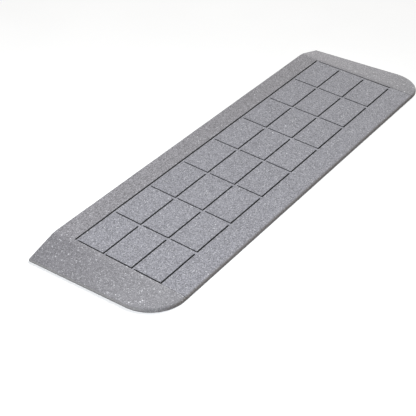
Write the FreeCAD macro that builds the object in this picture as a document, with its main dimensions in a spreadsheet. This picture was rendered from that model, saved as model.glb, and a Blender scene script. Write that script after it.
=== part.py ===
"""Rubber threshold ramp: a wedge-shaped deck with two side wings, each joined to it by three dowels.

Frame, in millimetres: X runs along the door sill, Y runs up the slope from the thin front edge to the
tall back face, Z is up. The origin is on the floor, in the middle of the footprint.
"""

import FreeCAD, Part

import os

import Sketcher

SIZES = {
    # deck: a grid of cells between a plain strip behind it and one in front, measured on the slope
    "cell_length": 114.3,
    "cell_count": 8,
    "row_pitch": 68,
    "row_count": 3,
    "back_strip": 48,
    "front_strip": 60,
    "rise": 25.4,
    "front_edge": 6.5,
    # moulded grooves round the cells
    "groove_width": 3,
    "groove_depth": 3,
    "groove_gap": 7.5,
    "cross_gap": 5.5,
    # side wings
    "wing_width": 80.5,
    "wing_foot": 5,
    "shoulder_width": 14,
    "corner_radius": 77,
    # rounding of the top edge that wheels climb over
    "nose_radius": 4.5,
    # dowels that join each wing to the deck
    "dowel_diameter": 6,
    "dowel_reach": 25,
    "dowel_height": 5.5,
    "dowel_chamfer": 0.8,
    "dowel_clearance": 0.05,
    "dowel_end_gap": 0.5,
    "dowel_inset": 45,
    "dowel_pitch": 70,
    "dowel_count": 3,
    # shallow grip flutes under the deck
    "flute_width": 8,
    "flute_depth": 2,
    "flute_pitch": 24,
    "flute_count": 9,
    "flute_inset": 24,
    "flute_margin": 45,
}

# Expressions that several pieces share, all worked out from the sheet.
GRID_LENGTH = "(Sizes.cell_count * Sizes.cell_length)"
HALF_GROOVE = "(Sizes.groove_width / 2)"
SEAM_X = f"({GRID_LENGTH} / 2 + {HALF_GROOVE})"
FOOT_X = f"({SEAM_X} + Sizes.wing_width)"
SLOPE_LENGTH = "(Sizes.back_strip + Sizes.row_count * Sizes.row_pitch + Sizes.front_strip)"
FALL = "(Sizes.rise - Sizes.front_edge)"
RUN = f"sqrt({SLOPE_LENGTH} ^ 2 - {FALL} ^ 2)"
SLOPE_ANGLE = f"asin({FALL} / {SLOPE_LENGTH})"
MIDDLE_HEIGHT = "((Sizes.rise + Sizes.front_edge) / 2)"
FIRST_LINE = f"({SLOPE_LENGTH} / 2 - Sizes.back_strip)"
LAST_LINE = f"({FIRST_LINE} - Sizes.row_count * Sizes.row_pitch)"
DOWEL_Y = f"({RUN} / 2 - Sizes.dowel_inset)"
DOWEL_RADIUS = "(Sizes.dowel_diameter / 2)"

TOUCH = 1e-4  # how closely two lengths agree when an edge is picked by its place
EDGE_SAMPLES = 8  # how many points of an edge are looked at to see where it lies
SHOULDER_GUESS = 0.1  # share of a wing's fall that the shoulder takes, where its sketch starts solving

doc = FreeCAD.newDocument("threshold_ramp")


def make_sheet():
    """The spreadsheet that drives the model: one named number in each row."""
    sheet = doc.addObject("Spreadsheet::Sheet", "Sizes")
    for row, (name, size) in enumerate(SIZES.items(), start=1):
        sheet.set(f"A{row}", name)
        sheet.set(f"B{row}", str(size))
        sheet.setAlias(f"B{row}", name)
    doc.recompute()
    return sheet


sizes = make_sheet()


def value(expression):
    """What an expression of the sheet's values comes to, as a plain number."""
    result = sizes.evalExpression(expression)
    return float(getattr(result, "Value", result))


def origin_item(body, role):
    """One of the body's own origin planes or axes."""
    return next(item for item in body.Origin.OriginFeatures if item.Role == role)


def new_body(label):
    body = doc.addObject("PartDesign::Body", label)
    body.Label = label
    return body


def new_sketch(body, name, plane, offset=None, tilt=None):
    """A sketch on an origin plane, moved along the plane's normal and tilted about its X axis."""
    sketch = body.newObject("Sketcher::SketchObject", name)
    sketch.AttachmentSupport = [(origin_item(body, plane), "")]
    sketch.MapMode = "FlatFace"
    if tilt:
        about_x = FreeCAD.Rotation(FreeCAD.Vector(1, 0, 0), value(tilt))
        sketch.AttachmentOffset = FreeCAD.Placement(FreeCAD.Vector(), about_x)
        sketch.setExpression("AttachmentOffset.Rotation.Angle", tilt)
    if offset:
        sketch.setExpression("AttachmentOffset.Base.z", offset)
    return sketch


def bind(sketch, constraint, expression):
    """Adds a dimension to a sketch and ties it to the sheet."""
    number = sketch.addConstraint(constraint)
    sketch.setExpression(f"Constraints[{number}]", expression)


def pin_point(sketch, item, end, x, y):
    """Holds a point of a sketch at x and y; "0" keeps it on the axis and None leaves it free."""
    for kind, axis, expression in (("DistanceX", -2, x), ("DistanceY", -1, y)):
        if expression == "0":
            sketch.addConstraint(Sketcher.Constraint("PointOnObject", item, end, axis))
        elif expression is not None:
            dimension = Sketcher.Constraint(kind, -1, 1, item, end, value(expression))
            bind(sketch, dimension, expression)


def join_ends(sketch, first, count):
    """Closes a ring of lines and arcs, each starting where the one before it stops."""
    for step in range(count):
        following = first + (step + 1) % count
        sketch.addConstraint(Sketcher.Constraint("Coincident", first + step, 2, following, 1))


def draw_outline(sketch, corners):
    """A closed outline of straight lines through corners, each an (x, y) pair of expressions."""
    points = [FreeCAD.Vector(value(x), value(y), 0) for x, y in corners]
    first = sketch.GeometryCount
    for start, stop in zip(points, points[1:] + points[:1]):
        sketch.addGeometry(Part.LineSegment(start, stop), False)
    join_ends(sketch, first, len(points))
    for step, (x, y) in enumerate(corners):
        pin_point(sketch, first + step, 1, x, y)


def draw_rectangle(sketch, left, right, bottom, top):
    draw_outline(sketch, [(left, bottom), (right, bottom), (right, top), (left, top)])


def draw_circle(sketch, x, y, diameter):
    centre = FreeCAD.Vector(value(x), value(y), 0)
    circle = Part.Circle(centre, FreeCAD.Vector(0, 0, 1), value(diameter) / 2)
    item = sketch.addGeometry(circle, False)
    pin_point(sketch, item, 3, x, y)
    bind(sketch, Sketcher.Constraint("Diameter", item, value(diameter)), diameter)


def finish_cut(body, feature, before):
    """Recomputes after a cut and makes sure that it took material away."""
    body.Tip = feature
    doc.recompute()
    if body.Shape.Volume >= before:
        raise ValueError(f"{feature.Name} cuts nothing")
    return feature


def pocket(body, sketch, name, depth, upward=False):
    """Cuts a sketch into the body, against the sketch's normal, or along it when upward."""
    before = body.Shape.Volume
    feature = body.newObject("PartDesign::Pocket", name)
    feature.Profile = sketch
    feature.Reversed = upward
    feature.setExpression("Length", depth)
    return finish_cut(body, feature, before)


def set_row(feature, direction, count, spacing, suffix=""):
    """Sets one direction of a linear pattern: so many copies, a spacing apart, against the axis."""
    setattr(feature, "Direction" + suffix, direction)
    setattr(feature, "Reversed" + suffix, True)
    setattr(feature, "Mode" + suffix, "Extent")
    feature.setExpression("Occurrences" + suffix, count)
    feature.setExpression("Length" + suffix, f"({count} - 1) * {spacing}")


def repeat_back_to_front(body, original, name, count, spacing):
    """Repeats a cut along Y, from the back of the ramp towards its front."""
    before = body.Shape.Volume
    feature = body.newObject("PartDesign::LinearPattern", name)
    feature.Originals = [original]
    set_row(feature, (origin_item(body, "Y_Axis"), [""]), count, spacing)
    return finish_cut(body, feature, before)


def round_edges(body, name, picked, radius):
    """Rounds every edge of the body that the function picked says yes to."""
    base = body.Tip
    edges = enumerate(base.Shape.Edges, start=1)
    names = [f"Edge{number}" for number, edge in edges if picked(edge)]
    before = body.Shape.Volume
    feature = body.newObject("PartDesign::Fillet", name)
    feature.Base = (base, names)
    feature.setExpression("Radius", radius)
    finish_cut(body, feature, before)


def round_nose(body):
    """Rounds the low top edges: those that stay between the heights of the foot and the front edge."""
    low, high = sorted((value("Sizes.wing_foot"), value("Sizes.front_edge")))

    def is_low_top(edge):
        heights = [point.z for point in edge.discretize(EDGE_SAMPLES)]
        return min(heights) > low - TOUCH and max(heights) < high + TOUCH

    round_edges(body, "nose", is_low_top, "Sizes.nose_radius")


def drill_dowel_holes(body, into_deck):
    """Blind holes on the left seam plane for the dowels, into the deck or into the wing."""
    sketch = new_sketch(body, "dowel_hole_sketch", "YZ_Plane", offset=f"-{SEAM_X}")
    bore = "Sizes.dowel_diameter + 2 * Sizes.dowel_clearance"
    draw_circle(sketch, DOWEL_Y, "Sizes.dowel_height", bore)
    depth = "Sizes.dowel_reach + Sizes.dowel_end_gap"
    hole = pocket(body, sketch, "dowel_hole", depth, upward=into_deck)
    repeat_back_to_front(body, hole, "dowel_holes", "Sizes.dowel_count", "Sizes.dowel_pitch")
    return hole


def pad_deck_wedge(body):
    """The plain wedge: a four-cornered side profile, as long as the grid and its end grooves."""
    sketch = new_sketch(body, "deck_profile", "YZ_Plane")
    front, back = f"-{RUN} / 2", f"{RUN} / 2"
    corners = [(front, "0"), (back, "0"), (back, "Sizes.rise"), (front, "Sizes.front_edge")]
    draw_outline(sketch, corners)
    pad = body.newObject("PartDesign::Pad", "wedge")
    pad.Profile = sketch
    pad.SideType = "Symmetric"
    pad.setExpression("Length", f"2 * {SEAM_X}")
    doc.recompute()


def cut_cell_grooves(body):
    """An L of two grooves along the left and front sides of each cell, repeated over the grid.

    Both grooves stop short of the next line, the cross groove by a smaller gap than the long one, which
    leaves a bridge of rubber at each crossing.
    """
    sketch = new_sketch(body, "cell_sketch", "XY_Plane", offset=MIDDLE_HEIGHT, tilt=SLOPE_ANGLE)
    outer_x = f"{SEAM_X} - {GRID_LENGTH} - Sizes.groove_width"
    inner_x = f"{outer_x} + Sizes.groove_width"
    end_x = f"{outer_x} + {HALF_GROOVE} + Sizes.cell_length - Sizes.groove_gap"
    start_y = f"{FIRST_LINE} - Sizes.cross_gap"
    bend_y = f"{FIRST_LINE} - Sizes.row_pitch + {HALF_GROOVE}"
    low_y = f"{FIRST_LINE} - Sizes.row_pitch - {HALF_GROOVE}"
    corners = [(outer_x, start_y), (outer_x, low_y), (end_x, low_y)]
    corners += [(end_x, bend_y), (inner_x, bend_y), (inner_x, start_y)]
    draw_outline(sketch, corners)
    cell = pocket(body, sketch, "cell_groove", "Sizes.groove_depth")
    before = body.Shape.Volume
    grid = body.newObject("PartDesign::LinearPattern", "cell_grooves")
    grid.Originals = [cell]
    set_row(grid, (sketch, ["H_Axis"]), "Sizes.cell_count", "Sizes.cell_length")
    grid.Reversed = False
    set_row(grid, (sketch, ["V_Axis"]), "Sizes.row_count", "Sizes.row_pitch", suffix="2")
    finish_cut(body, grid, before)


def cut_border_grooves(body):
    """The two grooves that close the grid: one along its back and one down its right end."""
    sketch = new_sketch(body, "border_sketch", "XY_Plane", offset=MIDDLE_HEIGHT, tilt=SLOPE_ANGLE)
    back_low, back_high = f"{FIRST_LINE} - {HALF_GROOVE}", f"{FIRST_LINE} + {HALF_GROOVE}"
    draw_rectangle(sketch, f"-{SEAM_X}", SEAM_X, back_low, back_high)
    end_inner = f"{SEAM_X} - Sizes.groove_width"
    end_low, end_high = f"{LAST_LINE} - {HALF_GROOVE}", f"{FIRST_LINE} - Sizes.cross_gap"
    draw_rectangle(sketch, end_inner, SEAM_X, end_low, end_high)
    pocket(body, sketch, "border_grooves", "Sizes.groove_depth")


def cut_flutes(body):
    """Shallow flutes along the underside, which stop short of both seams."""
    sketch = new_sketch(body, "flute_sketch", "XY_Plane")
    reach = f"({SEAM_X} - Sizes.flute_margin)"
    top = f"{RUN} / 2 - Sizes.flute_inset"
    draw_rectangle(sketch, f"-{reach}", reach, f"{top} - Sizes.flute_width", top)
    flute = pocket(body, sketch, "flute", "Sizes.flute_depth", upward=True)
    repeat_back_to_front(body, flute, "flutes", "Sizes.flute_count", "Sizes.flute_pitch")


def mirror_dowel_holes(body, hole):
    """Puts the left seam's row of dowel holes into the right seam too."""
    before = body.Shape.Volume
    row = body.newObject("PartDesign::LinearPattern", "right_row")
    set_row(row, (origin_item(body, "Y_Axis"), [""]), "Sizes.dowel_count", "Sizes.dowel_pitch")
    across = body.newObject("PartDesign::Mirrored", "right_side")
    across.MirrorPlane = (origin_item(body, "YZ_Plane"), [""])
    both = body.newObject("PartDesign::MultiTransform", "right_dowel_holes")
    both.Originals = [hole]
    both.Transformations = [row, across]
    finish_cut(body, both, before)


def make_deck():
    body = new_body("deck")
    pad_deck_wedge(body)
    round_nose(body)
    cut_cell_grooves(body)
    cut_border_grooves(body)
    cut_flutes(body)
    hole = drill_dowel_holes(body, into_deck=True)
    mirror_dowel_holes(body, hole)
    return body


def draw_wing_end(sketch, top, foot, shoulder_arc):
    """A wing's end: up the seam, over the shoulder, down the flare and back under.

    The shoulder is an arc that leaves the seam level and runs on into the flare, or a straight line.
    """
    seam_x, foot_x, shoulder_x = f"-{SEAM_X}", f"-{FOOT_X}", f"-{SEAM_X} - Sizes.shoulder_width"
    seam_low = FreeCAD.Vector(value(seam_x), 0, 0)
    seam_high = FreeCAD.Vector(value(seam_x), value(top), 0)
    foot_high = FreeCAD.Vector(value(foot_x), value(foot), 0)
    foot_low = FreeCAD.Vector(value(foot_x), 0, 0)
    drop = (value(top) - value(foot)) * SHOULDER_GUESS
    shoulder = FreeCAD.Vector(value(shoulder_x), value(top) - drop, 0)
    ring = [seam_low, seam_high, shoulder, foot_high, foot_low]
    for start, stop in zip(ring, ring[1:] + ring[:1]):
        line = Part.LineSegment(start, stop)
        if shoulder_arc and start is seam_high:
            middle = (start + stop) / 2 + FreeCAD.Vector(0, drop / 4, 0)
            line = Part.Arc(start, middle, stop)
        sketch.addGeometry(line, False)
    seam, over, flare, side, under = range(len(ring))
    for first, second in ((seam, over), (flare, side), (side, under), (under, seam)):
        sketch.addConstraint(Sketcher.Constraint("Coincident", first, 2, second, 1))
    if shoulder_arc:
        sketch.addConstraint(Sketcher.Constraint("Tangent", over, 2, flare, 1))
        sketch.addConstraint(Sketcher.Constraint("Vertical", over, 3, over, 1))
    else:
        sketch.addConstraint(Sketcher.Constraint("Coincident", over, 2, flare, 1))
    pin_point(sketch, seam, 1, seam_x, "0")
    pin_point(sketch, over, 1, seam_x, top)
    pin_point(sketch, flare, 1, shoulder_x, None if shoulder_arc else top)
    pin_point(sketch, side, 1, foot_x, foot)
    pin_point(sketch, under, 1, foot_x, "0")


def loft_wing(body):
    """The wing's twisted wedge, from a tall back end down to a flat front end."""
    back = new_sketch(body, "wing_back", "XZ_Plane", offset=f"-{RUN} / 2")
    draw_wing_end(back, "Sizes.rise", "Sizes.wing_foot", shoulder_arc=True)
    front = new_sketch(body, "wing_front", "XZ_Plane", offset=f"{RUN} / 2")
    draw_wing_end(front, "Sizes.front_edge", "Sizes.front_edge", shoulder_arc=False)
    loft = body.newObject("PartDesign::AdditiveLoft", "flare")
    loft.Profile = back
    loft.Sections = [front]
    loft.Ruled = True
    doc.recompute()


def round_wing_corner(body):
    """Rounds the wing's outer front corner in plan, a little less than the wing's own width."""
    foot_x, front_y = -value(FOOT_X), -value(RUN) / 2

    def is_outer_corner(edge):
        return all(abs(p.x - foot_x) + abs(p.y - front_y) < TOUCH for p in edge.discretize(EDGE_SAMPLES))

    widest = "(Sizes.wing_width - Sizes.groove_width)"
    round_edges(body, "corner", is_outer_corner, f"min(Sizes.corner_radius; {widest})")


def make_left_wing():
    body = new_body("left_wing")
    loft_wing(body)
    round_wing_corner(body)
    round_nose(body)
    drill_dowel_holes(body, into_deck=False)
    return body


def make_right_wing(left_wing):
    """The left wing, mirrored across the ramp."""
    mirrored = doc.addObject("Part::Mirroring", "right_wing")
    mirrored.Label = "right_wing"
    mirrored.Source = left_wing
    mirrored.Normal = FreeCAD.Vector(1, 0, 0)
    return mirrored


def make_dowel(label, side, step):
    """A round dowel with chamfered ends, laid across a seam: side is -1 left or 1 right."""
    body = new_body(label)
    sketch = new_sketch(body, f"{label}_profile", "XZ_Plane")
    reach, chamfer = "Sizes.dowel_reach", "Sizes.dowel_chamfer"
    corners = [(f"-{reach}", "0"), (reach, "0"), (reach, f"{DOWEL_RADIUS} - {chamfer}")]
    corners += [(f"{reach} - {chamfer}", DOWEL_RADIUS), (f"-{reach} + {chamfer}", DOWEL_RADIUS)]
    corners += [(f"-{reach}", f"{DOWEL_RADIUS} - {chamfer}")]
    draw_outline(sketch, corners)
    turned = body.newObject("PartDesign::Revolution", f"{label}_turned")
    turned.Profile = sketch
    turned.ReferenceAxis = (sketch, ["H_Axis"])
    turned.Angle = 360
    body.setExpression("Placement.Base.x", f"{side} * {SEAM_X}")
    body.setExpression("Placement.Base.y", f"{DOWEL_Y} - {step} * Sizes.dowel_pitch")
    body.setExpression("Placement.Base.z", "Sizes.dowel_height")
    return body


def make_dowels():
    """One dowel for each hole, named by its side and by its place from the back."""
    dowels = []
    for name, side in (("left", -1), ("right", 1)):
        for step in range(SIZES["dowel_count"]):
            dowels.append(make_dowel(f"{name}_dowel_{step + 1}", side, step))
    return dowels


def check_document():
    """Stops the build if any object of the document failed to recompute."""
    for item in doc.Objects:
        failed = [state for state in item.State if state in ("Invalid", "Error")]
        if failed:
            raise RuntimeError(f"{item.Label} is {failed}")


def export(pieces):
    os.makedirs("parts", exist_ok=True)
    for piece in pieces:
        shape = piece.Shape
        if shape.isNull() or not shape.isValid() or len(shape.Solids) != 1:
            raise RuntimeError(f"{piece.Label} has no sound solid")
    for piece in pieces:
        piece.Shape.exportStep(f"parts/{piece.Label}.step")
        print(piece.Label, round(piece.Shape.Volume), "mm3", piece.Shape.BoundBox)


left_wing = make_left_wing()
pieces = [make_deck(), left_wing, make_right_wing(left_wing)] + make_dowels()
doc.recompute()
check_document()
export(pieces)
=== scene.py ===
"""Rubber threshold ramp: how its deck, its two wings and the dowels between them look.

Everything is in metres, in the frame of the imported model: X runs along the door sill, Y up the slope from
the thin front edge to the tall back face, and Z up from the floor. A wing is worked out in its own plan,
where "out" is the distance from the seam between deck and wing, and "back" is the frame's own Y.
"""

import math

import bmesh
import bpy
import numpy as np
from mathutils import Matrix, Vector


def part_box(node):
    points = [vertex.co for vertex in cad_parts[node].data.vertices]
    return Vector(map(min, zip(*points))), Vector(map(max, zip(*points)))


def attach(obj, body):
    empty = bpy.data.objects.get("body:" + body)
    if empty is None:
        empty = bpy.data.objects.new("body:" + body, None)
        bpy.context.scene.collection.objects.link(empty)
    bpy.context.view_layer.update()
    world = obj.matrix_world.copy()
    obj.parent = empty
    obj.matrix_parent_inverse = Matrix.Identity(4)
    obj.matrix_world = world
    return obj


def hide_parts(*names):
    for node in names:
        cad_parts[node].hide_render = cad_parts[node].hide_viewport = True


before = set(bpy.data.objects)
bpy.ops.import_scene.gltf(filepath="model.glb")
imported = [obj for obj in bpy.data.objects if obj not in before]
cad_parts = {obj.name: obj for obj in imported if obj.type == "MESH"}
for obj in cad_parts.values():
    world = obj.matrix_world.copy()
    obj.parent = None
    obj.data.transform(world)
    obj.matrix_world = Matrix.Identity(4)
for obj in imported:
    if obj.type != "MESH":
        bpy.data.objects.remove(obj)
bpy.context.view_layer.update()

MM = 0.001

# The outline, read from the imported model.
DECK_LOW, DECK_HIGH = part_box("deck")
WING_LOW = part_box("left_wing")[0]
SEAM = DECK_HIGH.x
FRONT = DECK_LOW.y
BACK = DECK_HIGH.y
RISE = DECK_HIGH.z
RUN = BACK - FRONT
WING_WIDTH = -WING_LOW.x - SEAM

# The design sizes that a box can't tell.
FRONT_EDGE = 6.5 * MM
WING_FOOT = 5 * MM
SHOULDER = 14 * MM
CORNER = 77 * MM
NOSE = 4.5 * MM
NOSE_REACH = 8 * MM
FOOT_NOSE = 2.2 * MM
CELL = 114.3 * MM
CELLS = 8
ROW = 68 * MM
ROWS = 3
BACK_STRIP = 48 * MM
GROOVE_WIDTH = 3 * MM
GROOVE_DEPTH = 3 * MM
GROOVE_GAP = 7.5 * MM
CROSS_GAP = 5.5 * MM
FLUTE_WIDTH = 8 * MM
FLUTE_DEPTH = 2 * MM
FLUTE_PITCH = 24 * MM
FLUTES = 9
FLUTE_INSET = 24 * MM
FLUTE_MARGIN = 45 * MM

# Moulding softness, which only the surface has.
LIP = 0.45 * MM
CROSS_NARROWER = 0.2 * MM  # how much less a cross groove's lip opens on each side
SEAM_REACH = 0.5 * MM
SEAM_FALL_BACK = 0.06 * MM
SEAM_FALL_FRONT = 0.55 * MM
BACK_EASE = 1.2 * MM
FLUTE_DRAFT = 0.5 * MM
WAVE_HEIGHT = 0.10 * MM
LEAST_HEIGHT = 0.3 * MM  # of the top sheet at the bottom of a nose

# How finely the grids are divided.
DECK_STEP_X = 11 * MM
DECK_STEP_Y = 9 * MM
FOOT_STEP = 6 * MM
RULING_POINTS = 34
CORNER_POINTS = 42
NOSE_STEPS = 12
BACK_STEPS = 5
SEAM_STEPS = 4

# The rubber: sizes of its grain as counts per metre, and linear colours.
GRANULES_PER_METRE = 620
SPECKS_PER_METRE = 430
FLECKS_PER_METRE = 115
SPECK_SIZE = 0.30
SPECK_STRENGTH = 0.8
TREAD_COLOUR = (0.262, 0.260, 0.289, 1.0)
FLARE_COLOUR = (0.264, 0.259, 0.277, 1.0)
# painted shade: the darker colour towards the back, on each wing's steep back slope and on the deck's back
# strip
PAINTED_SHADE_COLOUR = (0.248, 0.240, 0.258, 1.0)
FLECK_COLOUR = (0.80, 0.80, 0.83, 1.0)
# painted shade: near-black in the grooves and the seam gaps
GROOVE_SHADE_COLOUR = (0.012, 0.013, 0.011, 1.0)
# painted shade: dark brownish, low on the front-facing nose
NOSE_SHADE_COLOUR = (0.130, 0.114, 0.098, 1.0)
# painted light: paler along the foot, standing in for light bounced from the floor
FOOT_LIGHT_COLOUR = (0.44, 0.43, 0.43, 1.0)

# The nylon of the dowels.
NYLON_SHADED = (0.74, 0.71, 0.62, 1.0)
NYLON_PALE = (0.82, 0.80, 0.73, 1.0)

# The room.
FLOOR_REACH = 30.0
FLOOR_GLOW = 0.2
FLOOR_SHADED = (0.90, 0.90, 0.90, 1.0)
FLOOR_PALE = (0.92, 0.92, 0.92, 1.0)
WHITE = (1.0, 1.0, 1.0, 1.0)
FILL = 0.19  # how strongly the pale room lights the object
BACKDROP = 0.85  # how bright the room looks behind it
FILL_COLOUR = (1.0, 0.985, 0.97, 1.0)
KEY_COLOUR = (1.0, 0.995, 0.98)
KEY_STRENGTH = 3.3
KEY_SPREAD = 30  # degrees
KEY_DIRECTION = (-4.0, -0.6, -2.3)
NEAR_COLOUR = (0.92, 0.96, 1.0)

SLOPE = math.asin((RISE - FRONT_EDGE) / math.hypot(RUN, RISE - FRONT_EDGE))
GRID_START = -CELL * CELLS / 2
HALF_GROOVE = GROOVE_WIDTH / 2
SAME_PLACE = 1e-6
SHARP_FOLD = 50  # degrees


# ---------------------------------------------------------------- profiles

def rounding(distance, radius, reach=None):
    """How far a rounded edge falls at a distance from it: radius * (1 - sqrt(1 - (1 - distance / reach)^2)).

    It falls by the radius at the edge itself and by nothing past its reach, which is the radius unless given.
    """
    reach = radius if reach is None else reach
    share = np.clip(1 - distance / reach, 0, 1)
    return radius * (1 - np.sqrt(1 - share ** 2))


def soft_step(value):
    """0 below 0, 1 above 1, and 3v^2 - 2v^3 between them."""
    value = np.clip(value, 0, 1)
    return value * value * (3 - 2 * value)


def round_marks(radius, steps):
    """Distances from an edge at which its rounding turns by equal angles: radius * (1 - sin(angle))."""
    angles = np.linspace(0, math.pi / 2, steps + 1)
    return radius * (1 - np.sin(angles))


def moulding_waves(x, y):
    """The slight unevenness of a moulded face: three crossing sine waves, added and scaled to its height."""
    long_wave = np.sin(x * 29 + 1.3) * np.cos(y * 37 - 0.4)
    slant_wave = np.sin(x * 61 - y * 47 + 2.1)
    short_wave = np.sin(x * 97 + y * 83) * np.sin(x * 53 - y * 71 + 0.7)
    return WAVE_HEIGHT * (long_wave + 0.6 * slant_wave + 0.5 * short_wave)


def deck_plane(y):
    """The flat slope of the deck: its height falls evenly from the rise to the front edge."""
    return RISE - (RISE - FRONT_EDGE) * (BACK - y) / RUN


def flare_angle():
    """The angle of a wing's outer slope at the back.

    The shoulder arc is level at the seam and spans SHOULDER, then a straight line reaches the foot, so
    SHOULDER * tan(angle / 2) + (WING_WIDTH - SHOULDER) * tan(angle) is the fall. It is found by halving.
    """
    low, high = 0.0, math.pi / 3
    for _ in range(40):
        middle = (low + high) / 2
        fall = SHOULDER * math.tan(middle / 2) + (WING_WIDTH - SHOULDER) * math.tan(middle)
        low, high = (middle, high) if fall < RISE - WING_FOOT else (low, middle)
    return (low + high) / 2


def wing_surface(out, y):
    """A wing's top: the back profile and the level front edge, mixed in proportion to the place on the run.

    The back profile is an arc of radius SHOULDER / sin(angle) over the shoulder and a line beyond it.
    """
    angle = flare_angle()
    radius = SHOULDER / math.sin(angle)
    arc = RISE - rounding(radius - np.minimum(out, SHOULDER), radius)
    line = np.maximum(out - SHOULDER, 0) * math.tan(angle)
    share = (BACK - y) / RUN
    return (1 - share) * (arc - line) + share * FRONT_EDGE


def seam_easing(distance, y):
    """How far the edge of a seam is rounded down by wear: a rounding whose fall grows evenly towards the
    front.
    """
    fall = SEAM_FALL_BACK + (SEAM_FALL_FRONT - SEAM_FALL_BACK) * (BACK - y) / RUN
    return fall * rounding(distance / SEAM_REACH, 1.0)


def seam_shade(distance, y):
    """Painted shade in a seam gap: a soft step over the eased edge, times the square of the place on the run.
    """
    return soft_step(1.3 * (1 - distance / SEAM_REACH)) * ((BACK - y) / RUN) ** 2


# ---------------------------------------------------------------- grooves

def groove_lines():
    """Every groove as (x from, x to, slope from, slope to), where slope distance starts at the back edge.

    One long groove closes the grid's back and one cross groove its right end. Each cell adds an L: a cross
    groove on its left, which starts a small gap after the line behind it, and a long one in front, which
    stops a larger gap before the next line.
    """
    long_reach = GROOVE_GAP + HALF_GROOVE
    cross_reach = CROSS_GAP + HALF_GROOVE
    grid_end = GRID_START + CELL * CELLS
    last_line = BACK_STRIP + ROW * ROWS
    lines = [(-SEAM, SEAM, BACK_STRIP, BACK_STRIP), (grid_end, grid_end, BACK_STRIP + cross_reach, last_line)]
    for row in range(ROWS):
        behind = BACK_STRIP + ROW * row
        ahead = behind + ROW
        for cell in range(CELLS):
            left = GRID_START + CELL * cell
            lines.append((left, left, behind + cross_reach, ahead))
            lines.append((left, left + CELL - long_reach, ahead, ahead))
    return lines


def groove_share(x, slope):
    """How deep each point lies in a groove, from 0 on the tread to 1 on the bottom.

    It is a soft step of the distance to the nearest groove's middle line, across a lip at the wall. A cross
    groove counts as a little further away, so its lips stay closer. Past the end lines of the grid the
    deck's rebate is open, so there only the distance along it counts.
    """
    nearest = np.full(x.shape, 1.0)
    inner_x = np.clip(x, GRID_START, GRID_START + CELL * CELLS)
    for x_from, x_to, slope_from, slope_to in groove_lines():
        beside = inner_x - np.clip(inner_x, x_from, x_to)
        along = slope - np.clip(slope, slope_from, slope_to)
        narrower = CROSS_NARROWER if x_from == x_to else 0
        nearest = np.minimum(nearest, np.hypot(beside, along) + narrower)
    return soft_step((HALF_GROOVE + LIP - nearest) / (2 * LIP))


def flute_share(x, y):
    """How deep each point of the underside lies in a flute: the product of a soft step in Y and one in X."""
    from_first = BACK - FLUTE_INSET - FLUTE_WIDTH / 2 - y
    number = np.clip(np.round(from_first / FLUTE_PITCH), 0, FLUTES - 1)
    off_middle = np.abs(from_first - number * FLUTE_PITCH)
    across = soft_step((FLUTE_WIDTH / 2 - off_middle) / FLUTE_DRAFT)
    along = soft_step((SEAM - FLUTE_MARGIN - np.abs(x)) / FLUTE_DRAFT)
    return across * along


# ---------------------------------------------------------------- grids and solids

def fill_marks(marks, step):
    """Sorted marks without doubles, with evenly spaced ones added wherever two lie over a step apart."""
    marks = np.unique(np.round(np.asarray(marks) / SAME_PLACE / 10)) * SAME_PLACE * 10
    filled = [marks[:1]]
    for low, high in zip(marks[:-1], marks[1:]):
        pieces = max(1, math.ceil((high - low) / step - SAME_PLACE))
        filled.append(np.linspace(low, high, pieces + 1)[1:])
    return np.concatenate(filled)


def groove_marks(middle):
    """Marks across one groove, close together on its walls and lips."""
    wall = HALF_GROOVE + LIP * np.array([-1, -0.55, -0.2, 0.15, 0.5, 1])
    return middle + np.concatenate([-wall, [0, -HALF_GROOVE / 2, HALF_GROOVE / 2], wall])


def end_marks(tip, direction):
    """Marks along the rounded end of a groove, from just before its tip to where it is full width."""
    return tip + direction * np.array([-LIP, 0, LIP, 0.8 * HALF_GROOVE, 1.4 * HALF_GROOVE])


def solid_between(name, top, bottom, shares):
    """A closed mesh of two sheets with the same grid, and a rim of faces that joins their edges.

    Shares are arrays over the grid, one for each named attribute, and stand for the top sheet only.
    """
    rows, columns = top.shape[:2]
    index = np.arange(rows * columns).reshape(rows, columns)
    quads = [index[:-1, :-1], index[1:, :-1], index[1:, 1:], index[:-1, 1:]]
    upper = np.stack(quads, axis=-1).reshape(-1, 4)
    lower = upper[:, ::-1] + index.size
    rim = np.concatenate([index[0], index[1:, -1], index[-1, -2::-1], index[-2:0:-1, 0]])
    following = np.roll(rim, -1)
    sides = np.stack([rim, following, following + index.size, rim + index.size], axis=-1)
    faces = np.concatenate([upper, lower, sides])
    points = np.concatenate([top.reshape(-1, 3), bottom.reshape(-1, 3)])
    corners = points[faces]
    areas = np.cross(corners[:, 2] - corners[:, 0], corners[:, 3] - corners[:, 1])
    if np.einsum("ij,ij->", corners.mean(axis=1), areas) < 0:
        faces = faces[:, ::-1]
    mesh = bpy.data.meshes.new(name)
    mesh.from_pydata(points.tolist(), [], faces.tolist())
    for share_name, share in shares.items():
        layer = mesh.attributes.new(share_name, "FLOAT", "POINT")
        layer.data.foreach_set("value", np.concatenate([share.ravel(), np.zeros(index.size)]))
    return add_piece(name, mesh)


def add_piece(name, mesh):
    """Welds corners that share a place, shades it smooth up to a sharp fold, and adds it to the scene."""
    work = bmesh.new()
    work.from_mesh(mesh)
    bmesh.ops.remove_doubles(work, verts=work.verts, dist=SAME_PLACE)
    work.to_mesh(mesh)
    work.free()
    mesh.shade_smooth()
    mesh.set_sharp_from_angle(angle=math.radians(SHARP_FOLD))
    piece = bpy.data.objects.new(name, mesh)
    bpy.context.scene.collection.objects.link(piece)
    return piece


# ---------------------------------------------------------------- rubber pieces

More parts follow.
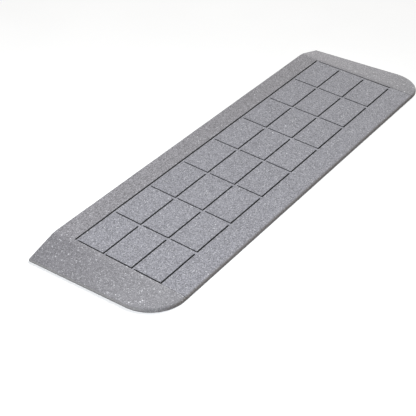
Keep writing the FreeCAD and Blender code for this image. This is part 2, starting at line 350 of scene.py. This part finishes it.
def make_deck():
    """The deck: a grid in X and Y between its top and its underside.

    Top height = slope plane + moulding waves - groove depth * groove share - the rounding of the nose and
    of the back edge - the wear of both seam edges. Underside height = flute depth * flute share. Painted
    shade in the seams counts as hollow, and the tread is all that lies in front of the back groove.
    """
    grid_lines = GRID_START + CELL * np.arange(CELLS + 1)
    seam_marks = SEAM - round_marks(SEAM_REACH, SEAM_STEPS)
    flute_end = SEAM - FLUTE_MARGIN
    flute_marks = np.array([flute_end - FLUTE_DRAFT, flute_end])
    x_marks = [seam_marks, -seam_marks, flute_marks, -flute_marks]
    x_marks += [groove_marks(line) for line in grid_lines]
    x_marks += [end_marks(line - GROOVE_GAP, -1) for line in grid_lines[1:]]
    x_marks = np.concatenate(x_marks)
    x = fill_marks(x_marks[np.abs(x_marks) <= SEAM + SAME_PLACE], DECK_STEP_X)

    slope_lines = BACK_STRIP + ROW * np.arange(ROWS + 1)
    slope_marks = [groove_marks(line) for line in slope_lines]
    slope_marks += [end_marks(line + CROSS_GAP, 1) for line in slope_lines[:-1]]
    y_marks = [BACK - np.concatenate(slope_marks) * math.cos(SLOPE)]
    y_marks += [BACK - round_marks(BACK_EASE, BACK_STEPS), FRONT + round_marks(NOSE_REACH, NOSE_STEPS)]
    flute_middles = BACK - FLUTE_INSET - FLUTE_WIDTH / 2 - FLUTE_PITCH * np.arange(FLUTES)
    for side in (-1, 1):
        wall = flute_middles + side * FLUTE_WIDTH / 2
        y_marks += [wall, wall - side * FLUTE_DRAFT]
    y = fill_marks(np.concatenate(y_marks), DECK_STEP_Y)

    x, y = np.meshgrid(x, y)
    groove = groove_share(x, (BACK - y) / math.cos(SLOPE))
    height = deck_plane(y) + moulding_waves(x, y) - GROOVE_DEPTH * groove
    height -= rounding(y - FRONT, NOSE, NOSE_REACH) + rounding(BACK - y, BACK_EASE)
    height -= seam_easing(SEAM - np.abs(x), y) * (1 - groove)
    flute = flute_share(x, y)
    top = np.stack([x, y, height], axis=-1)
    bottom = np.stack([x, y, FLUTE_DEPTH * flute], axis=-1)
    # rim: the front nose, which is painted with shade
    rim = 1 - np.clip((y - FRONT) / NOSE_REACH, 0, 1)
    # tread share: 1 on the cells and 0 on the back strip, which gets the darker painted-shade colour
    tread = soft_step(((BACK - y) / math.cos(SLOPE) - BACK_STRIP) / GROOVE_WIDTH)
    # painted shade in the grooves and in the seam gap
    hollow = np.maximum(groove, seam_shade(SEAM - np.abs(x), y))
    shares = {"hollow": hollow, "rim": rim, "foot": np.zeros(x.shape), "tread": tread}
    return solid_between("deck_moulding", top, bottom, shares)


def wing_outline():
    """The plan outline of a wing as arrays (out, back, inward out, inward back).

    It runs from the seam along the front edge, round the corner arc and back along the foot to the back
    face. The inward arrays are the outline's unit normal, towards the wing's middle.
    """
    straight = np.linspace(0, WING_WIDTH - CORNER, 4)[:-1]
    turn = np.linspace(-math.pi / 2, 0, CORNER_POINTS)
    foot_marks = np.append(BACK - round_marks(BACK_EASE, BACK_STEPS), FRONT + CORNER)
    foot = fill_marks(foot_marks, FOOT_STEP)[1:]
    out = [straight, WING_WIDTH - CORNER + CORNER * np.cos(turn), np.full(foot.shape, WING_WIDTH)]
    back = [np.full(straight.shape, FRONT), FRONT + CORNER + CORNER * np.sin(turn), foot]
    inward_out = [np.zeros(straight.shape), -np.cos(turn), np.full(foot.shape, -1.0)]
    inward_back = [np.ones(straight.shape), -np.sin(turn), np.zeros(foot.shape)]
    return tuple(np.concatenate(parts) for parts in (out, back, inward_out, inward_back))


def make_wing(name, side):
    """A wing: rulings from the seam to its outline, turned down over a rounded nose.

    A ruling goes straight from a point of the seam to the outline moved in by the nose's reach, then out
    against the inward normal. The seam's points share its length out as the outline's lengths do. With v
    the normal's backward part, which is 1 at the front edge and 0 at the foot, the nose's radius and reach
    go from the foot's to the front's with 1 - (1 - v)^2, painted nose shade with v^3 and painted foot light
    with 1 - v.
    """
    out, back, inward_out, inward_back = wing_outline()
    travelled = np.concatenate([[0], np.cumsum(np.hypot(np.diff(out), np.diff(back)))])
    facing = 1 - (1 - inward_back) ** 2
    radius = FOOT_NOSE + (NOSE - FOOT_NOSE) * facing
    reach = FOOT_NOSE + (NOSE_REACH - FOOT_NOSE) * facing
    seam_back = FRONT + NOSE_REACH + (RUN - NOSE_REACH) * travelled / travelled[-1]
    inner_out = out + reach * inward_out
    inner_back = back + reach * inward_back
    length = np.hypot(inner_out, inner_back - seam_back)[:, None]
    share = np.linspace(0, 1, RULING_POINTS)[None, :]
    near_seam = np.sort(round_marks(SEAM_REACH, SEAM_STEPS))
    close = np.concatenate([near_seam, np.full(share.size - near_seam.size, np.inf)])[None, :]
    share = np.where(length > 0, np.minimum(share * length, close) / np.maximum(length, SAME_PLACE), share)
    ruled_out = share * inner_out[:, None]
    ruled_back = seam_back[:, None] * (1 - share) + inner_back[:, None] * share
    inset = round_marks(1.0, NOSE_STEPS)[None, 1:] * reach[:, None]
    nose_out = out[:, None] + inset * inward_out[:, None]
    nose_back = back[:, None] + inset * inward_back[:, None]
    plan_out = np.concatenate([ruled_out, nose_out], axis=1)
    plan_back = np.concatenate([ruled_back, nose_back], axis=1)
    inside = np.concatenate([np.ones(ruled_out.shape), inset / reach[:, None]], axis=1)

    x = side * (SEAM + plan_out)
    height = wing_surface(plan_out, plan_back) + moulding_waves(x, plan_back)
    height -= rounding(inside, 1.0) * radius[:, None]
    height -= rounding(BACK - plan_back, BACK_EASE) + seam_easing(plan_out, plan_back)
    top = np.stack([x, plan_back, np.maximum(height, LEAST_HEIGHT)], axis=-1)
    bottom = np.stack([x, plan_back, np.zeros(x.shape)], axis=-1)
    # painted shade low on the nose where it faces the front
    front = (1 - inside) * inward_back[:, None] ** 3
    # painted light on the nose where it faces out along the foot
    foot = (1 - inside) * (1 - inward_back[:, None])
    # painted shade: 0 at the back, where the flare slopes steeply away from the light and the colour is
    # darkest, 1 at the front
    unshaded_share = soft_step((BACK - plan_back) / RUN)
    # painted shade in the seam gap, growing towards the front
    hollow = seam_shade(plan_out, plan_back)
    shares = {"hollow": hollow, "rim": front, "foot": foot, "tread": unshaded_share}
    return solid_between(name, top, bottom, shares)


# ---------------------------------------------------------------- shader groups

def new_group(name, inputs, outputs):
    """An empty shader node group with the named inputs, each (kind, default), and outputs, each a kind."""
    group = bpy.data.node_groups.new(name, "ShaderNodeTree")
    for label, (kind, default) in inputs.items():
        socket = group.interface.new_socket(name=label, in_out="INPUT", socket_type=kind)
        if default is not None:
            socket.default_value = default
    for label, kind in outputs.items():
        group.interface.new_socket(name=label, in_out="OUTPUT", socket_type=kind)
    start = group.nodes.new("NodeGroupInput")
    end = group.nodes.new("NodeGroupOutput")
    return group, start.outputs, end.inputs


def add_node(tree, kind, settings=None, **links):
    """A node with its settings and inputs: a socket is linked, and anything else is a fixed value."""
    node = tree.nodes.new(kind)
    for key, setting in (settings or {}).items():
        setattr(node, key, setting)
    for key, source in links.items():
        socket = node.inputs[int(key[1:])] if key[1:].isdigit() else node.inputs[key.replace("_", " ")]
        if isinstance(source, bpy.types.NodeSocket):
            tree.links.new(source, socket)
        else:
            socket.default_value = source
    return node


def calculate(tree, operation, first, second=0.0, third=0.0):
    """The result of one Math node."""
    node = add_node(tree, "ShaderNodeMath", {"operation": operation}, i0=first, i1=second, i2=third)
    return node.outputs[0]


def remap(tree, source, from_low, from_high, to_low, to_high):
    """A value moved from one range to another, and held inside it."""
    settings = {"interpolation_type": "SMOOTHSTEP"}
    node = add_node(tree, "ShaderNodeMapRange", settings, Value=source, From_Min=from_low,
                    From_Max=from_high, To_Min=to_low, To_Max=to_high)
    return node.outputs["Result"]


def noise(tree, place, scale, detail=2.0, roughness=0.5):
    """A cloudy value about 0.5 at each place."""
    node = add_node(tree, "ShaderNodeTexNoise", Vector=place, Scale=scale, Detail=detail, Roughness=roughness)
    return node.outputs["Fac"]


def blend_colour(tree, mask, first, second, mode="MIX"):
    """Two colours mixed by a mask."""
    node = tree.nodes.new("ShaderNodeMix")
    node.data_type = "RGBA"
    node.blend_type = mode
    for socket, source in ((node.inputs[0], mask), (node.inputs[6], first), (node.inputs[7], second)):
        if isinstance(source, bpy.types.NodeSocket):
            tree.links.new(source, socket)
        else:
            socket.default_value = source
    return node.outputs[2]


def speck_layer(tree, place, scale, share, size):
    """Irregular specks: one in some cells of a Voronoi pattern, each with its own size and strength."""
    cell = add_node(tree, "ShaderNodeTexVoronoi", Vector=place, Scale=scale)
    chance = add_node(tree, "ShaderNodeSeparateColor", Color=cell.outputs["Color"]).outputs
    chosen = calculate(tree, "LESS_THAN", chance[0], share)
    radius = calculate(tree, "MULTIPLY", size, calculate(tree, "ADD", chance[1], 0.5))
    ratio = calculate(tree, "DIVIDE", cell.outputs["Distance"], radius)
    spot = calculate(tree, "MULTIPLY", chosen, remap(tree, ratio, 0.75, 1.15, 1.0, 0.0))
    return calculate(tree, "MULTIPLY", spot, calculate(tree, "MULTIPLY_ADD", chance[2], 0.6, 0.4))


def make_granule_group():
    """Pressed rubber granules: the tone and height of each, with fine specks and larger pale flecks."""
    inputs = {
        "Place": ("NodeSocketVector", None),
        "Speck Share": ("NodeSocketFloat", 0.5),
        "Fleck Share": ("NodeSocketFloat", 0.15),
        "Fleck Size": ("NodeSocketFloat", 0.16),
    }
    outputs = {"Tone": "NodeSocketFloat", "Fleck": "NodeSocketFloat", "Height": "NodeSocketFloat"}
    group, given, result = new_group("pressed_granules", inputs, outputs)
    warp = add_node(group, "ShaderNodeTexNoise", Vector=given["Place"], Scale=330.0, Detail=2.0)
    shift = add_node(group, "ShaderNodeVectorMath", {"operation": "MULTIPLY_ADD"}, i0=warp.outputs["Color"],
                     i1=(0.004, 0.004, 0.004), i2=given["Place"]).outputs[0]
    granule = add_node(group, "ShaderNodeTexVoronoi", Vector=shift, Scale=GRANULES_PER_METRE)
    random = add_node(group, "ShaderNodeSeparateColor", Color=granule.outputs["Color"]).outputs
    speck = speck_layer(group, shift, SPECKS_PER_METRE, given["Speck Share"], SPECK_SIZE)
    fleck = speck_layer(group, given["Place"], FLECKS_PER_METRE, given["Fleck Share"], given["Fleck Size"])
    group.links.new(random[0], result["Tone"])
    pale = calculate(group, "MAXIMUM", calculate(group, "MULTIPLY", speck, SPECK_STRENGTH), fleck)
    group.links.new(pale, result["Fleck"])
    group.links.new(calculate(group, "SUBTRACT", 1.0, granule.outputs["Distance"]), result["Height"])
    return group


def make_cloud_group():
    """Broad, faint differences of shade over a moulding, from large noise and mid-sized mottling."""
    inputs = {
        "Place": ("NodeSocketVector", None),
        "Cloud": ("NodeSocketFloat", 0.05),
        "Mottle": ("NodeSocketFloat", 0.08),
    }
    group, given, result = new_group("shade_clouds", inputs, {"Shade": "NodeSocketFloat"})
    broad = noise(group, given["Place"], scale=13.0, detail=3.0, roughness=0.55)
    middle = noise(group, given["Place"], scale=150.0, detail=3.0, roughness=0.6)
    broad_change = calculate(group, "SUBTRACT", broad, 0.5)
    middle_change = calculate(group, "SUBTRACT", middle, 0.5)
    shade = calculate(group, "MULTIPLY_ADD", broad_change, given["Cloud"], 1.0)
    shade = calculate(group, "MULTIPLY_ADD", middle_change, given["Mottle"], shade)
    group.links.new(shade, result["Shade"])
    return group


def new_material(name):
    """A material with one Principled shader, and its node tree, shader inputs and Object coordinates."""
    material = bpy.data.materials.new(name)
    material.use_nodes = True
    tree = material.node_tree
    shader = tree.nodes["Principled BSDF"]
    place = tree.nodes.new("ShaderNodeTexCoord").outputs["Object"]
    return material, tree, shader, place


def rubber_material(name, main_colour, contrast, fleck_share, fleck_size, granules, clouds):
    """Grey pressed-granule rubber: mottled and flecked, with painted light and shade.

    It is painted near-black as shade in the grooves and seams, painted dark brownish as shade low on the
    front nose, painted lighter along the foot as light bounced from the floor, and painted darker as shade
    where the tread share is 0.
    """
    material, tree, shader, place = new_material(name)
    grain = add_node(tree, "ShaderNodeGroup", {"node_tree": granules}, Place=place, Speck_Share=0.55,
                     Fleck_Share=fleck_share, Fleck_Size=fleck_size).outputs
    shade = add_node(tree, "ShaderNodeGroup", {"node_tree": clouds}, Place=place, Cloud=0.16,
                     Mottle=0.10).outputs["Shade"]
    tone = calculate(tree, "MULTIPLY_ADD", calculate(tree, "SUBTRACT", grain["Tone"], 0.5), contrast, shade)
    grey = add_node(tree, "ShaderNodeCombineColor", Red=tone, Green=tone, Blue=tone).outputs[0]
    tread = add_node(tree, "ShaderNodeAttribute", {"attribute_name": "tread"}).outputs["Fac"]
    # painted shade: the darker colour where the tread share is 0, towards the back
    plain = blend_colour(tree, tread, PAINTED_SHADE_COLOUR, main_colour)
    rubber = blend_colour(tree, 1.0, plain, grey, "MULTIPLY")
    flecked = blend_colour(tree, grain["Fleck"], rubber, FLECK_COLOUR)
    hollow = add_node(tree, "ShaderNodeAttribute", {"attribute_name": "hollow"}).outputs["Fac"]
    # painted shade: the grooves and seam gaps turn near-black
    dark = blend_colour(tree, remap(tree, hollow, 0.15, 0.6, 0.0, 1.0), flecked, GROOVE_SHADE_COLOUR)
    rim = add_node(tree, "ShaderNodeAttribute", {"attribute_name": "rim"}).outputs["Fac"]
    # painted shade low on the front-facing nose
    nose_shade = calculate(tree, "MULTIPLY", remap(tree, rim, 0.25, 1.0, 0.0, 0.8), shade)
    nose_shaded = blend_colour(tree, nose_shade, dark, NOSE_SHADE_COLOUR)
    foot = add_node(tree, "ShaderNodeAttribute", {"attribute_name": "foot"}).outputs["Fac"]
    # painted light along the foot
    foot_light = calculate(tree, "MULTIPLY", remap(tree, foot, 0.1, 0.8, 0.0, 0.75), shade)
    tree.links.new(blend_colour(tree, foot_light, nose_shaded, FOOT_LIGHT_COLOUR), shader.inputs["Base Color"])
    rough = calculate(tree, "MULTIPLY_ADD", grain["Tone"], 0.14, 0.68)
    tree.links.new(calculate(tree, "MULTIPLY_ADD", grain["Fleck"], -0.12, rough), shader.inputs["Roughness"])
    fine = noise(tree, place, scale=1400.0, detail=2.0, roughness=0.6)
    height = calculate(tree, "MULTIPLY_ADD", fine, 0.35, grain["Height"])
    bump = add_node(tree, "ShaderNodeBump", Strength=0.35, Distance=0.0004, Height=height)
    tree.links.new(bump.outputs["Normal"], shader.inputs["Normal"])
    shader.inputs["Specular IOR Level"].default_value = 0.35
    return material


def nylon_material():
    """Natural nylon rod: off-white, with the fine rings that turning leaves."""
    material, tree, shader, place = new_material("turned_nylon")
    rings = add_node(tree, "ShaderNodeTexWave", {"bands_direction": "X"}, Vector=place, Scale=900.0,
                     Distortion=1.5, Detail=2.0).outputs["Fac"]
    shade = remap(tree, noise(tree, place, scale=260.0), 0.3, 0.7, 0.0, 1.0)
    colour = blend_colour(tree, shade, NYLON_SHADED, NYLON_PALE)
    tree.links.new(colour, shader.inputs["Base Color"])
    tree.links.new(remap(tree, rings, 0.0, 1.0, 0.38, 0.50), shader.inputs["Roughness"])
    bump = add_node(tree, "ShaderNodeBump", Strength=0.3, Distance=0.0001, Height=rings)
    tree.links.new(bump.outputs["Normal"], shader.inputs["Normal"])
    return material


# ---------------------------------------------------------------- room

def softbox(name, place, aim, size, power):
    """A square area light that faces a point, and can't be seen itself."""
    light = bpy.data.lights.new(name, "AREA")
    light.size = size
    light.energy = power
    light.color = NEAR_COLOUR
    holder = bpy.data.objects.new(name, light)
    holder.location = place
    holder.rotation_euler = (Vector(aim) - Vector(place)).to_track_quat("-Z", "Y").to_euler()
    holder.visible_camera = False
    bpy.context.scene.collection.objects.link(holder)


def make_floor():
    """A plain pale studio floor, which isn't part of the object."""
    signs = ((-1, -1), (1, -1), (1, 1), (-1, 1))
    corners = [(FLOOR_REACH * across, FLOOR_REACH * along, 0) for across, along in signs]
    mesh = bpy.data.meshes.new("studio_floor")
    mesh.from_pydata(corners, [], [(0, 1, 2, 3)])
    floor = bpy.data.objects.new("studio_floor", mesh)
    bpy.context.scene.collection.objects.link(floor)
    material, tree, shader, place = new_material("studio_floor")
    shade = remap(tree, noise(tree, place, scale=3.0), 0.3, 0.7, 0.0, 1.0)
    colour = blend_colour(tree, shade, FLOOR_SHADED, FLOOR_PALE)
    tree.links.new(colour, shader.inputs["Base Color"])
    shader.inputs["Roughness"].default_value = 0.9
    shader.inputs["Emission Color"].default_value = WHITE
    shader.inputs["Emission Strength"].default_value = FLOOR_GLOW
    mesh.materials.append(material)


def make_camera(aim, distance, azimuth, elevation, roll, lens):
    """A camera that looks at a point: azimuth turns its view from +Y towards +X, and roll leans it left."""
    azimuth, elevation, roll = (math.radians(angle) for angle in (azimuth, elevation, roll))
    level = math.cos(elevation)
    forward = Vector((math.sin(azimuth) * level, math.cos(azimuth) * level, -math.sin(elevation)))
    level_right = forward.cross(Vector((0, 0, 1))).normalized()
    level_up = level_right.cross(forward)
    right = level_right * math.cos(roll) + level_up * math.sin(roll)
    turn = Matrix((right, right.cross(forward), -forward)).transposed().to_4x4()
    data = bpy.data.cameras.new("camera")
    data.lens = lens
    camera = bpy.data.objects.new("camera", data)
    camera.matrix_world = Matrix.Translation(Vector(aim) - forward * distance) @ turn
    bpy.context.scene.collection.objects.link(camera)
    bpy.context.scene.camera = camera


def light_room():
    """A soft distant light from beyond the far end, a softbox over the near end, and pale light all round."""
    key = bpy.data.lights.new("key_light", "SUN")
    key.energy = KEY_STRENGTH
    key.color = KEY_COLOUR
    key.angle = math.radians(KEY_SPREAD)
    holder = bpy.data.objects.new("key_light", key)
    holder.rotation_euler = Vector(KEY_DIRECTION).to_track_quat("-Z", "Y").to_euler()
    bpy.context.scene.collection.objects.link(holder)
    softbox("near_light", place=(-0.75, -0.1, 1.2), aim=(-0.75, -0.1, 0), size=0.9, power=9.9)
    world = bpy.data.worlds.new("studio")
    world.use_nodes = True
    tree = world.node_tree
    seen = tree.nodes.new("ShaderNodeLightPath").outputs["Is Camera Ray"]
    backdrop = calculate(tree, "MULTIPLY_ADD", seen, BACKDROP - FILL, FILL)
    tree.links.new(backdrop, tree.nodes["Background"].inputs["Strength"])
    tree.nodes["Background"].inputs["Color"].default_value = FILL_COLOUR
    bpy.context.scene.world = world
    bpy.context.scene.view_settings.view_transform = "Standard"


# ---------------------------------------------------------------- assembly

granules = make_granule_group()
clouds = make_cloud_group()
tread_rubber = rubber_material("tread_rubber", TREAD_COLOUR, contrast=0.95, fleck_share=0.10, fleck_size=0.12,
                               granules=granules, clouds=clouds)
flare_rubber = rubber_material("flare_rubber", FLARE_COLOUR, contrast=0.60, fleck_share=0.40, fleck_size=0.15,
                               granules=granules, clouds=clouds)

deck = make_deck()
left_wing = make_wing("left_wing_moulding", -1)
right_wing = make_wing("right_wing_moulding", 1)
rubber_pieces = (
    (deck, "deck", "deck_rubber", tread_rubber),
    (left_wing, "left_wing", "wing_rubber", flare_rubber),
    (right_wing, "right_wing", "wing_rubber", flare_rubber),
)
for piece, node, slot, material in rubber_pieces:
    piece.data.materials.append(material)
    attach(piece, "root")
    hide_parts(node)

nylon = nylon_material()
for node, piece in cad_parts.items():
    if "dowel" in node:
        piece.data.materials.clear()
        piece.data.materials.append(nylon)

make_floor()
light_room()
make_camera(aim=(-0.1998, -0.0207, 0), distance=2.1123, azimuth=55.05, elevation=35.02, roll=0.2, lens=89.9)
